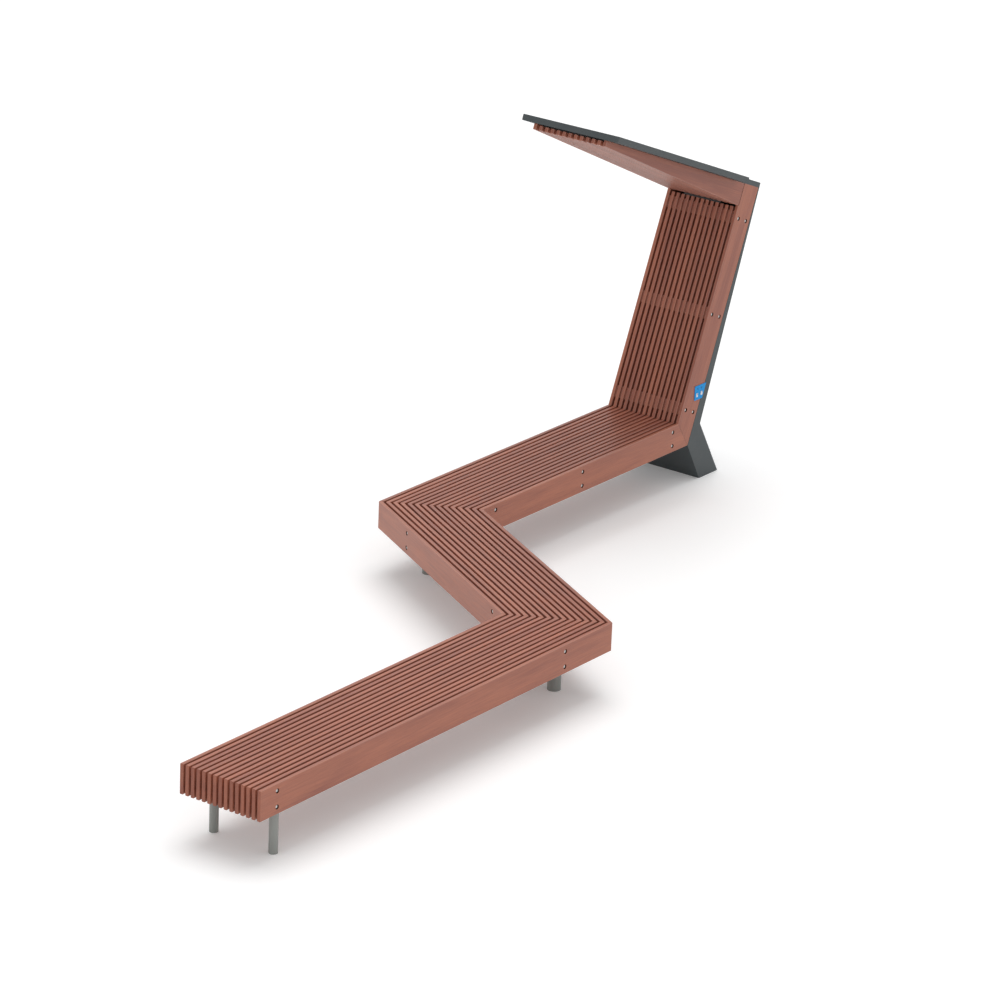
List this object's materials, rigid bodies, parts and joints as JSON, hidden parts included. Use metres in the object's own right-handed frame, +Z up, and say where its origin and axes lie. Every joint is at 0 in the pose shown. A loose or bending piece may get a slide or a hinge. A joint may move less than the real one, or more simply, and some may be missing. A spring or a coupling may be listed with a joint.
{
  "type": "solar charging bench",
  "caption": "Slatted timber bench that zigzags in plan and ends in a leaning back with a slatted solar roof, a steel foot and a charging point.",
  "frame": {"origin": "on the ground below the middle of the whole outline", "axes": "+X along the outer seat arms towards the roofed end, +Y from the free arm's long side towards the arm under the roof, +Z up"},
  "size_m": [7.0794, 2.3268, 2.6099],
  "materials": {
    "board_timber": "oiled hardwood, fine straight grain",
    "slat_timber": "oiled hardwood",
    "spacer_timber": "oiled hardwood",
    "bright_steel": "plain stainless",
    "leg_steel": "satin grey coat",
    "dark_steel": "fine satin anthracite powder coat",
    "panel_frame": "black anodised",
    "panel_glass": "clear low-iron glass",
    "panel_cells": "dark blue silicon",
    "panel_backsheet": "white film",
    "black_rubber": "matt",
    "black_plastic": "fine texture",
    "controller_case": "matt",
    "terminal_green": "plain",
    "battery_case": "plain",
    "terminal_brass": "plain",
    "blue_plate": "satin blue",
    "blue_screws": "darker blue",
    "white_plastic": "gloss"
  },
  "bodies": {
    "bench": {"board_a_near": "board_timber", "board_a_far": "board_timber", "slats_a": "slat_timber", "board_b_left": "board_timber", "board_b_right": "board_timber", "slats_b": "slat_timber", "board_c_near": "board_timber", "board_c_far": "board_timber", "slats_c": "slat_timber", "seat_spacers": "spacer_timber", "back_board_near": "board_timber", "back_board_far": "board_timber", "back_slats": "slat_timber", "back_spacers": "spacer_timber", "roof_board_near": "board_timber", "roof_board_far": "board_timber", "roof_slats": "slat_timber", "through_bolts": "bright_steel", "bolt_washers": "bright_steel", "bolt_nuts": "bright_steel", "end_legs": "leg_steel", "end_bearer": "dark_steel", "corner_posts": "leg_steel", "corner_bearers": "dark_steel", "seat_bracket": "dark_steel", "spine": "dark_steel", "base_plate": "dark_steel", "roof_arm": "dark_steel", "roof_ribs": "dark_steel", "roof_straps": "dark_steel", "roof_tray": "dark_steel", "tray_bolts": "bright_steel", "panel_frame": "panel_frame", "panel_glass": "panel_glass", "panel_cells": "panel_cells", "panel_backsheet": "panel_backsheet", "junction_box": "black_plastic", "panel_cable": "black_rubber", "grommets": "black_rubber", "equipment_bracket": "bright_steel", "controller": "controller_case", "controller_terminals": "terminal_green", "battery": "battery_case", "battery_terminals": "terminal_brass", "battery_strap": "bright_steel", "battery_leads": "black_rubber", "port_cable": "black_rubber", "charge_plate": "blue_plate", "plate_screws": "blue_screws", "port_bezels": "white_plastic", "port_module": "black_plastic", "cap_pin": "bright_steel", "door_frame": "dark_steel", "door_seal": "black_rubber", "hinge_pins": "bright_steel", "lamp_bar": "black_plastic"},
    "service_door": {"service_door": "dark_steel"},
    "lock_upper": {"lock_upper": "bright_steel"},
    "lock_lower": {"lock_lower": "bright_steel"},
    "port_cap": {"port_cap": "white_plastic"}
  },
  "joints": [
    {"name": "service_door_hinge", "type": "hinge", "parent": "bench", "child": "service_door", "pos_m": [3.11426, 0.62388, 0.18685], "axis": [0.5172, 0, -0.8558], "range_deg": [0, 110]},
    {"name": "lock_upper_turn", "type": "hinge", "parent": "service_door", "child": "lock_upper", "pos_m": [3.07076, 0.93438, 0.24819], "axis": [-0.8558, 0, -0.5172], "range_deg": [0, 90]},
    {"name": "lock_lower_turn", "type": "hinge", "parent": "service_door", "child": "lock_lower", "pos_m": [3.14835, 0.93438, 0.11982], "axis": [-0.8558, 0, -0.5172], "range_deg": [0, 90]},
    {"name": "port_cap_hinge", "type": "hinge", "parent": "bench", "child": "port_cap", "pos_m": [2.97176, 0.50488, 0.6165], "axis": [-1, 0, 0], "range_deg": [0, 110]}
  ]
}
